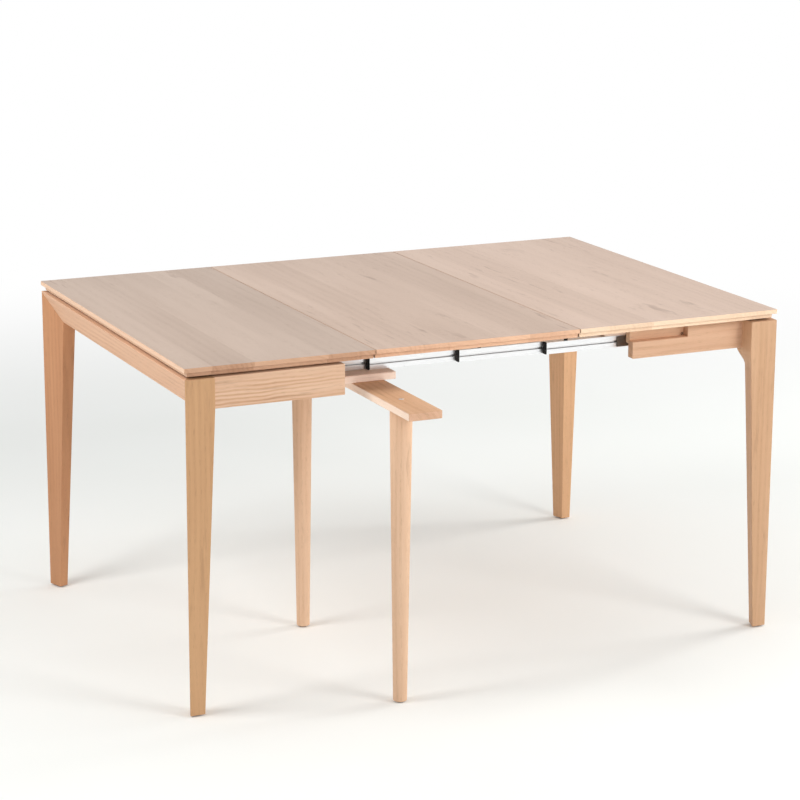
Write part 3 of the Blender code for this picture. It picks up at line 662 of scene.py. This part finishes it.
def drawn_metal_group():
    """Metal drawn along X: long fine scratches, faint smudges and the colour that they shift."""
    tree, given, result = new_group(
        "drawn_metal",
        [
            ("Place", "Vector", (0, 0, 0)),
            ("Pale", "Color", (0.8, 0.8, 0.8, 1)),
            ("Deep", "Color", (0.6, 0.6, 0.6, 1)),
            ("Base Roughness", "Float", 0.3),
        ],
        [("Color", "Color"), ("Roughness", "Float"), ("Height", "Float")],
    )
    scratch = noise(tree, given["Place"], SCRATCH_CLOUDS, 2, 0.6)
    smudge = noise(tree, given["Place"], SMUDGE_CLOUDS, 3, 0.6)
    tone = maths(tree, "MULTIPLY", smudge, SMUDGE_TONE)
    tone = maths(tree, "MULTIPLY_ADD", scratch, SCRATCH_TONE, tone, clamp=True)
    colour = tint(tree, tone, given["Deep"], given["Pale"])
    rough = maths(tree, "MULTIPLY_ADD", smudge, SMUDGE_ROUGHNESS, given["Base Roughness"])
    rough = maths(tree, "MULTIPLY_ADD", scratch, SCRATCH_ROUGHNESS, rough)
    give(tree, result, {"Color": colour, "Roughness": rough, "Height": scratch})
    return tree


def moulded_grain_group():
    """Moulded plastic: a fine pebbled grain, dull patches and dust in the hollows."""
    tree, given, result = new_group(
        "moulded_grain",
        [
            ("Place", "Vector", (0, 0, 0)),
            ("Pale", "Color", (0.1, 0.1, 0.1, 1)),
            ("Deep", "Color", (0.02, 0.02, 0.02, 1)),
            ("Base Roughness", "Float", 0.4),
        ],
        [("Color", "Color"), ("Roughness", "Float"), ("Height", "Float")],
    )
    pebble = noise(tree, given["Place"], PEBBLE_CLOUDS, 2, 0.5)
    patch = noise(tree, given["Place"], PATCH_CLOUDS, 3, 0.6)
    dust = remap(tree, maths(tree, "MULTIPLY", pebble, patch), *DUST_EDGE)
    colour = tint(tree, dust, given["Deep"], given["Pale"])
    rough = maths(tree, "MULTIPLY_ADD", patch, PATCH_ROUGHNESS, given["Base Roughness"])
    give(tree, result, {"Color": colour, "Roughness": rough, "Height": pebble})
    return tree


WOOD_FIGURE = wood_figure_group()
DRAWN_METAL = drawn_metal_group()
MOULDED_GRAIN = moulded_grain_group()

# Turn that lays the grain of a piece along Y, and how far a normal leans to an axis before its face counts
GRAIN_TURNS = {"X": (0, 0, math.pi / 2), "Y": (0, 0, 0), "Z": (-math.pi / 2, 0, 0)}
AXES = {"X": 0, "Y": 1, "Z": 2}
FACING_EDGE = (0.6, 0.95)

# Staves: how uneven their widths are, and how far along the log the next one may be cut, in metres
STAVE_UNEVENNESS = 0.6
STAVE_HOP = 7.0

LACQUER_IOR = 1.5
PLASTIC_GLOSS = 0.25


def new_material(name):
    """A material with only a principled shader and its output: the tree and the shader."""
    material = bpy.data.materials.new(name)
    material.use_nodes = True
    tree = material.node_tree
    tree.nodes.clear()
    shader = tree.nodes.new("ShaderNodeBsdfPrincipled")
    output = tree.nodes.new("ShaderNodeOutputMaterial")
    tree.links.new(shader.outputs[0], output.inputs["Surface"])
    return material, tree, shader


def lay_group(tree, shader, group, inputs, strength, distance):
    """Puts a group into a material: its colour, its roughness and its height as a bump."""
    placed = add(tree, "ShaderNodeGroup", inputs, node_tree=group)
    relief = {"Strength": strength, "Distance": distance, "Height": placed.outputs["Height"]}
    bump = add(tree, "ShaderNodeBump", relief)
    tree.links.new(placed.outputs["Color"], shader.inputs["Base Color"])
    tree.links.new(placed.outputs["Roughness"], shader.inputs["Roughness"])
    tree.links.new(bump.outputs[0], shader.inputs["Normal"])


def oak(name, grain, pale, deep, stave=0.5, staves=None, ends=1.0, pitch=0.010, waver=0.003, figure=0.3,
        band=0.8, fibre=0.5, trace=0.2, spread=0.0, roughness=0.62, gloss=0.3, sides=None):
    """Lacquered oak. staves is (start, width) where the piece is glued up from boards side by side.

    sides holds, for an axis whose faces are to look lighter or darker, the pale and the deep colour of
    those faces: painted light and shade.
    """
    material, tree, shader = new_material(name)
    coords = add(tree, "ShaderNodeTexCoord").outputs
    turn = GRAIN_TURNS[grain]
    place = add(tree, "ShaderNodeMapping", {"Vector": coords["Object"], "Rotation": turn}).outputs[0]
    facing = add(tree, "ShaderNodeSeparateXYZ", {0: coords["Normal"]}).outputs
    end = remap(tree, maths(tree, "ABSOLUTE", facing[AXES[grain]]), *FACING_EDGE, 0.0, ends)
    inputs = {
        "Place": place, "Stave": stave, "End": end, "Ring Pitch": pitch, "Waver": waver, "Figure": figure,
        "Band": band, "Fibre": fibre, "Trace": trace, "Stave Spread": spread, "Base Roughness": roughness,
        "Pale": srgb(*pale), "Deep": srgb(*deep), "Pore": srgb(*PORE),
    }
    # Painted light and shade: faces that look along each listed axis are mixed towards their own colours.
    for axis, (painted_light_pale, painted_light_deep) in (sides or {}).items():
        beside = remap(tree, maths(tree, "ABSOLUTE", facing[AXES[axis]]), *FACING_EDGE)
        inputs["Pale"] = tint(tree, beside, inputs["Pale"], srgb(*painted_light_pale))
        inputs["Deep"] = tint(tree, beside, inputs["Deep"], srgb(*painted_light_deep))
    if staves:
        start, width = staves
        side = add(tree, "ShaderNodeSeparateXYZ", {0: place}).outputs[0]
        count = maths(tree, "MULTIPLY", maths(tree, "SUBTRACT", side, start), 1 / width)
        spacing = {"W": count, "Scale": 1.0, "Randomness": STAVE_UNEVENNESS}
        cells = add(tree, "ShaderNodeTexVoronoi", spacing, voronoi_dimensions="1D")
        number = add(tree, "ShaderNodeSeparateColor", {0: cells.outputs["Color"]}).outputs[0]
        inputs["Stave"] = number
        hop = add(tree, "ShaderNodeCombineXYZ", {1: maths(tree, "MULTIPLY", number, STAVE_HOP)}).outputs[0]
        inputs["Place"] = add(tree, "ShaderNodeVectorMath", {0: place, 1: hop}, operation="ADD").outputs[0]
    lay_group(tree, shader, WOOD_FIGURE, inputs, strength=0.22, distance=0.0004)
    shader.inputs["IOR"].default_value = LACQUER_IOR
    shader.inputs["Specular IOR Level"].default_value = gloss
    return material


def metal(name, pale, deep, roughness, metallic=1.0):
    """Drawn metal, with its scratches along X."""
    material, tree, shader = new_material(name)
    place = add(tree, "ShaderNodeTexCoord").outputs["Object"]
    inputs = {"Place": place, "Pale": srgb(*pale), "Deep": srgb(*deep), "Base Roughness": roughness}
    lay_group(tree, shader, DRAWN_METAL, inputs, strength=0.10, distance=0.0001)
    shader.inputs["Metallic"].default_value = metallic
    return material


def plastic(name, pale, deep, roughness):
    """Moulded plastic with a fine grain."""
    material, tree, shader = new_material(name)
    place = add(tree, "ShaderNodeTexCoord").outputs["Object"]
    inputs = {"Place": place, "Pale": srgb(*pale), "Deep": srgb(*deep), "Base Roughness": roughness}
    lay_group(tree, shader, MOULDED_GRAIN, inputs, strength=0.25, distance=0.00008)
    shader.inputs["Specular IOR Level"].default_value = PLASTIC_GLOSS
    return material


# Panels' staves: where the first one starts along X, and how wide they are
LEFT_STAVES = (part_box("left_top")[0].x, 0.085)
LEAF_STAVES = (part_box("middle_leaf")[0].x, 0.097)
RIGHT_STAVES = (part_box("right_top")[0].x, 0.101)

# Finishes, and painted light and shade on some faces: colours as they look on a screen
PORE = (124, 86, 60)
TOP = dict(pitch=0.020, waver=0.008, figure=0.10, band=0.55, fibre=0.25, trace=0.46, spread=0.20,
           roughness=0.44, gloss=0.5)
EDGE = dict(ends=0.0, figure=0.2, spread=0.5)
# Painted light: the crossbar's sides and its ends are coloured paler than its top, as if lit more than the
# top.
CROSSBAR_PAINTED_LIGHT_SIDES = {
    "X": ((250, 228, 209), (240, 208, 185)),
    "Y": ((232, 188, 158), (205, 158, 124)),
}
FINISHES_AND_PAINTED_LIGHT = {
    "left_top": oak("oak_left_top", "Y", (190, 165, 146), (160, 135, 117), staves=LEFT_STAVES, **TOP),
    "leaf": oak("oak_leaf", "Y", (203, 174, 153), (172, 144, 124), staves=LEAF_STAVES, **TOP),
    "right_top": oak("oak_right_top", "Y", (217, 187, 166), (186, 157, 137), staves=RIGHT_STAVES, **TOP),
    # Painted light and shade: the panels' edges are paler copies of their oak, palest on the right panel,
    # and the faces at the gaps between panels a darker copy.
    "left_edge_painted_light": oak("oak_left_edge", "Y", (222, 178, 146), (190, 144, 114), staves=LEFT_STAVES, **EDGE),
    "leaf_edge_painted_light": oak("oak_leaf_edge", "Y", (246, 200, 166), (222, 174, 142), staves=LEAF_STAVES, **EDGE),
    "right_edge_painted_light": oak("oak_right_edge", "Y", (254, 226, 196), (240, 204, 172), staves=RIGHT_STAVES, **EDGE),
    "end_edge_painted_light": oak("oak_end_edge", "Y", (246, 210, 180), (220, 178, 146), ends=0.0),
    "seam_painted_shade": oak("oak_seam", "Y", (196, 160, 134), (166, 132, 108), ends=0.0),
    "front_left_leg": oak("oak_front_left_leg", "Z", (216, 171, 128), (194, 148, 107), 0.40, figure=0.2),
    "back_left_leg": oak("oak_back_left_leg", "Z", (208, 154, 114), (184, 129, 92), 0.62, figure=0.2),
    "front_right_leg": oak("oak_front_right_leg", "Z", (221, 179, 144), (197, 153, 116), 0.48, figure=0.2),
    "back_right_leg": oak("oak_back_right_leg", "Z", (236, 190, 148), (211, 161, 120), 0.55, figure=0.2),
    "left_apron": oak("oak_left_apron", "X", (244, 209, 180), (210, 164, 130), 0.95, pitch=0.008,
                      waver=0.010, figure=0.45, band=0.9),
    "right_apron": oak("oak_right_apron", "X", (230, 190, 159), (205, 159, 126), 0.85, pitch=0.014),
    "end_apron": oak("oak_end_apron", "Y", (241, 197, 164), (214, 165, 131), 0.80),
    "crossbar": oak("oak_crossbar", "Y", (219, 175, 138), (191, 144, 109), 0.30, ends=0.0, pitch=0.014,
                    sides=CROSSBAR_PAINTED_LIGHT_SIDES),
    "support_leg": oak("oak_support_leg", "Z", (240, 203, 171), (218, 174, 140), 0.52, figure=0.2),
    # The batten and the cleats are pale wood made paler still: painted light that lifts them out of the
    # shade under the top.
    "batten": oak("pale_oak_batten_painted_light", "X", (255, 234, 218), (246, 214, 193), 0.70, figure=0.2),
    "cleat": oak("pale_oak_cleat_painted_light", "X", (252, 214, 180), (238, 192, 156), 0.65, figure=0.2),
    "aluminium": metal("drawn_aluminium", (250, 250, 250), (240, 241, 242), 0.20),
    # Dark steel, on the rail brackets and the notch screws: painted shade.
    "dark_steel": metal("dark_steel", (124, 112, 102), (86, 76, 68), 0.42, 0.8),
    "bright_steel": metal("bright_steel", (246, 245, 242), (224, 222, 218), 0.36, 0.8),
    "black_plastic": plastic("black_plastic", (20, 20, 20), (6, 6, 7), 0.50),
    "grey_nylon": plastic("grey_nylon", (150, 150, 148), (118, 118, 117), 0.42),
}


def finish_node(node, finish):
    """Gives a node that keeps its own shape a better surface."""
    for slot in NODES[node].material_slots:
        slot.material = FINISHES_AND_PAINTED_LIGHT[finish]


# The table


def paint_edge_light_and_shade(board, side, left, right):
    """Paints light and shade on a board's edges: a copy of the oak for both long sides, and one for each
    end.
    """
    mesh = board.data
    for finish in (side, left, right):
        mesh.materials.append(FINISHES_AND_PAINTED_LIGHT[finish])
    normals = np.empty(3 * len(mesh.polygons), np.float32)
    mesh.polygons.foreach_get("normal", normals)
    across, along, up = normals.reshape(-1, 3).T
    end = np.where(across < 0, 2, 3)
    index = np.where(np.abs(up) > EDGE_STARTS, 0, np.where(np.abs(along) > np.abs(across), 1, end))
    mesh.polygons.foreach_set("material_index", index.astype(np.int32))


def dress_top():
    """Lays the three panels over their nodes. Each has its own rebates, and painted light and shade on its
    edges.
    """
    # The outer edges take paler copies of the oak, painted light as if the lamps fell on them, and the
    # faces at the gaps between panels a darker copy, painted shade.
    rebates = {"end_edge_painted_light": PANEL_EDGE_REBATE, "seam_painted_shade": PANEL_SEAM_REBATE}
    panels = (
        ("left_top", "left_top", "left_edge_painted_light", "left_frame", "end_edge_painted_light", "seam_painted_shade"),
        ("middle_leaf", "leaf", "leaf_edge_painted_light", "leaf", "seam_painted_shade", "seam_painted_shade"),
        ("right_top", "right_top", "right_edge_painted_light", "right_frame", "seam_painted_shade", "end_edge_painted_light"),
    )
    for node, face, side, body, left, right in panels:
        rings = stepped_panel(*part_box(node), rebates[left], rebates[right])
        board = piece(f"{node}_board", skin(rings), FINISHES_AND_PAINTED_LIGHT[face], body, "oak", [node])
        paint_edge_light_and_shade(board, side, left, right)


def dress_end_frames():
    """Lays legs, foot discs and aprons over their nodes in both end frames, and gives the cleats their pale
    oak with painted light.
    """
    for end in ENDS:
        body = f"{end}_frame"
        apron = left_end_apron() if end == "left" else right_end_apron()
        piece(f"{end}_end_board", skin(apron), FINISHES_AND_PAINTED_LIGHT["end_apron"], body, "oak", [f"{end}_end_apron"])
        for side in SIDES:
            corner = f"{side}_{end}"
            node = f"{corner}_leg"
            piece(f"{corner}_tapered_leg", skin(corner_leg(side, end)), FINISHES_AND_PAINTED_LIGHT[node], body, "oak", [node])
            node = f"{corner}_glide"
            rings = glide(node)
            piece(f"{corner}_foot_disc", skin(rings), FINISHES_AND_PAINTED_LIGHT["grey_nylon"], body, "grey_nylon", [node])
            node = f"{corner}_apron"
            finish = FINISHES_AND_PAINTED_LIGHT[f"{end}_apron"]
            piece(f"{corner}_apron_board", skin(side_apron(side, end)), finish, body, "oak", [node])
            finish_node(f"{corner}_cleat", "cleat")


def dress_rails():
    """Finishes both rail runs and what holds them, and lays a turned stud over each stud node."""
    for side in SIDES:
        # The battens, hangers and blocks take the batten oak: pale wood with painted light.
        for part in ("rail_batten", "batten_hanger_outer", "batten_hanger_inner", "rail_block"):
            finish_node(f"{side}_{part}", "batten")
        # The rail brackets hold the rails' last stages; their dark steel stands for the shade where the
        # rails end under the right top: painted shade.
        finish_node(f"{side}_rail_bracket", "dark_steel")
        for stage in range(STAGES):
            finish_node(f"{side}_rail_stage_{stage}", "aluminium")
        for stage in range(1, STAGES):
            finish_node(f"{side}_rail_cap_{stage}", "black_plastic")
            node = f"{side}_rail_stud_{stage}"
            name = f"{side}_leaf_stud_{stage}"
            piece(name, skin(rail_stud(node)), FINISHES_AND_PAINTED_LIGHT["black_plastic"], STAGE_BODIES[stage],
                  "black_plastic", [node])


def dress_support():
    """Finishes the crossbar, and lays turned legs, bolts and foot discs over their nodes."""
    finish_node("support_crossbar", "crossbar")
    pieces = (
        ("support_leg", "turned_leg", support_leg, "support_leg", "oak"),
        ("support_bolt", "socket_bolt", bolt, "bright_steel", "bright_steel"),
        ("support_glide", "support_foot_disc", glide, "grey_nylon", "grey_nylon"),
    )
    for side in SIDES:
        for part, name, shape, finish, slot in pieces:
            node = f"{side}_{part}"
            piece(f"{side}_{name}", skin(shape(node)), FINISHES_AND_PAINTED_LIGHT[finish], "support", slot, [node])


def cleat_screws(node):
    """A row of screws driven up through the underside of a cleat."""
    low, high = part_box(node)
    y = (low.y + high.y) / 2
    for x in np.linspace(low.x + SCREW_FROM_CLEAT_END, high.x - SCREW_FROM_CLEAT_END, SCREWS_PER_CLEAT):
        yield screw_head((x, y, low.z), (0, 0, -1), (1, 0, 0))


def notch_screw(side):
    """A screw in the lower corner of an apron's notch, driven into the cleat behind it. Its dark steel is
    painted shade for that corner.
    """
    apron_low, apron_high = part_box(f"{side}_right_apron")
    low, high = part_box(f"{side}_right_cleat")
    x = apron_low.x + NOTCH_LENGTH - NOTCH_SCREW_INSET
    z = apron_high.z - NOTCH_HEIGHT + NOTCH_SCREW_INSET
    y, out = (low.y, -1) if side == "front" else (high.y, 1)
    return screw_head((x, y, z), (0, out, 0), (1, 0, 0), NOTCH_SCREW_SIZE)


def dress_screws():
    """Adds the screws under the cleats, one piece for each end frame, and those in the notches."""
    for end in ENDS:
        heads = [head for side in SIDES for head in cleat_screws(f"{side}_{end}_cleat")]
        piece(f"{end}_strip_screws", join(heads), FINISHES_AND_PAINTED_LIGHT["bright_steel"], f"{end}_frame", "bright_steel")
    # Their dark steel is painted shade for the notches' inner corners.
    heads = [notch_screw(side) for side in SIDES]
    piece("notch_screws_painted_shade", join(heads), FINISHES_AND_PAINTED_LIGHT["dark_steel"], "right_frame", "dark_steel")


# Studio


def place_camera():
    """A camera at its fitted place: yaw about Z, pitch downwards, then roll about the line of sight."""
    forward = Vector((
        math.sin(CAMERA_YAW) * math.cos(CAMERA_PITCH),
        math.cos(CAMERA_YAW) * math.cos(CAMERA_PITCH),
        -math.sin(CAMERA_PITCH),
    ))
    level = Vector((math.cos(CAMERA_YAW), -math.sin(CAMERA_YAW), 0))
    upright = level.cross(forward)
    right = level * math.cos(CAMERA_ROLL) + upright * math.sin(CAMERA_ROLL)
    up = upright * math.cos(CAMERA_ROLL) - level * math.sin(CAMERA_ROLL)
    lens = bpy.data.cameras.new("photo_view")
    lens.sensor_width = SENSOR
    lens.lens = FOCAL_PIXELS * SENSOR / PICTURE_PIXELS
    lens.clip_end = CAMERA_REACH
    camera = bpy.data.objects.new("photo_view", lens)
    turn = Matrix((right, up, -forward)).transposed().to_4x4()
    camera.matrix_world = Matrix.Translation(CAMERA_PLACE) @ turn
    bpy.context.scene.collection.objects.link(camera)
    bpy.context.scene.camera = camera


def seen(tree):
    """1 for rays from the camera or off a glossy or clear surface, 0 for those that carry light."""
    path = add(tree, "ShaderNodeLightPath").outputs
    either = maths(tree, "MAXIMUM", path["Is Camera Ray"], path["Is Glossy Ray"])
    return maths(tree, "MAXIMUM", either, path["Is Transmission Ray"])


def lay_floor():
    """A wide disc that fades from lit paper near the table to plain white far away.

    To the camera and in reflections the paper is already part white near the table, so shadows stay faint.
    """
    middle, first = FLOOR_INNER_RADII
    rings = np.array([middle, *np.geomspace(first, FLOOR_RADIUS, FLOOR_RINGS)])
    angle = np.linspace(0, 2 * math.pi, FLOOR_STEPS, endpoint=False)
    x, y = rings[:, None] * np.cos(angle), rings[:, None] * np.sin(angle)
    points = np.stack([x, y, np.zeros_like(x)], axis=-1)
    faces = ring_faces(len(rings), len(angle))[:, ::-1].tolist()
    faces.append(list(range(len(angle))))
    mesh = bpy.data.meshes.new("paper_floor")
    mesh.from_pydata(points.reshape(-1, 3).tolist(), [], faces)
    floor = bpy.data.objects.new("paper_floor", mesh)
    bpy.context.scene.collection.objects.link(floor)
    material, tree, shader = new_material("studio_paper")
    place = add(tree, "ShaderNodeTexCoord").outputs["Object"]
    mottle = noise(tree, place, PAPER_CLOUDS, 3)
    paper = tint(tree, mottle, *(srgb(*colour) for colour in PAPER))
    tree.links.new(paper, shader.inputs["Base Color"])
    shader.inputs["Roughness"].default_value = PAPER_ROUGHNESS
    away = add(tree, "ShaderNodeVectorMath", {0: place}, operation="LENGTH").outputs["Value"]
    far = remap(tree, away, *FLOOR_FADE)
    lift = maths(tree, "MULTIPLY", seen(tree), FLOOR_LIFT)
    share = maths(tree, "MAXIMUM", far, lift)
    white = add(tree, "ShaderNodeEmission", {"Color": WHITE, "Strength": 1.0}).outputs[0]
    both = add(tree, "ShaderNodeMixShader", {0: share, 1: shader.outputs[0], 2: white}).outputs[0]
    output = next(node for node in tree.nodes if node.type == "OUTPUT_MATERIAL")
    tree.links.new(both, output.inputs["Surface"])
    mesh.materials.append(material)


def light_studio():
    """A pale sky that looks plain white to the camera and in reflections, and three soft lamps."""
    world = bpy.data.worlds.new("studio")
    bpy.context.scene.world = world
    world.use_nodes = True
    tree = world.node_tree
    tree.nodes.clear()
    toward = add(tree, "ShaderNodeTexCoord").outputs["Generated"]
    rightwards = add(tree, "ShaderNodeSeparateXYZ", {0: toward}).outputs[0]
    strength = maths(tree, "MULTIPLY_ADD", rightwards, SKY_SLOPE, SKY_STRENGTH)
    lit = add(tree, "ShaderNodeBackground", {"Color": srgb(*SKY_COLOUR), "Strength": strength}).outputs[0]
    shown = add(tree, "ShaderNodeBackground", {"Color": WHITE, "Strength": 1.0}).outputs[0]
    both = add(tree, "ShaderNodeMixShader", {0: seen(tree), 1: lit, 2: shown}).outputs[0]
    add(tree, "ShaderNodeOutputWorld", {"Surface": both})
    for name, (place, size, power) in LAMPS.items():
        lamp = bpy.data.lights.new(name + "_softbox", "AREA")
        lamp.shape = "SQUARE"
        lamp.size = size
        lamp.energy = power
        placed = bpy.data.objects.new(name + "_softbox", lamp)
        turn = (Vector(LAMP_AIM) - Vector(place)).to_track_quat("-Z", "Y").to_matrix().to_4x4()
        placed.matrix_world = Matrix.Translation(place) @ turn
        placed.visible_glossy = False
        bpy.context.scene.collection.objects.link(placed)
    bpy.context.scene.view_settings.view_transform = "Standard"


place_camera()
lay_floor()
light_studio()
dress_top()
dress_end_frames()
dress_rails()
dress_support()
dress_screws()
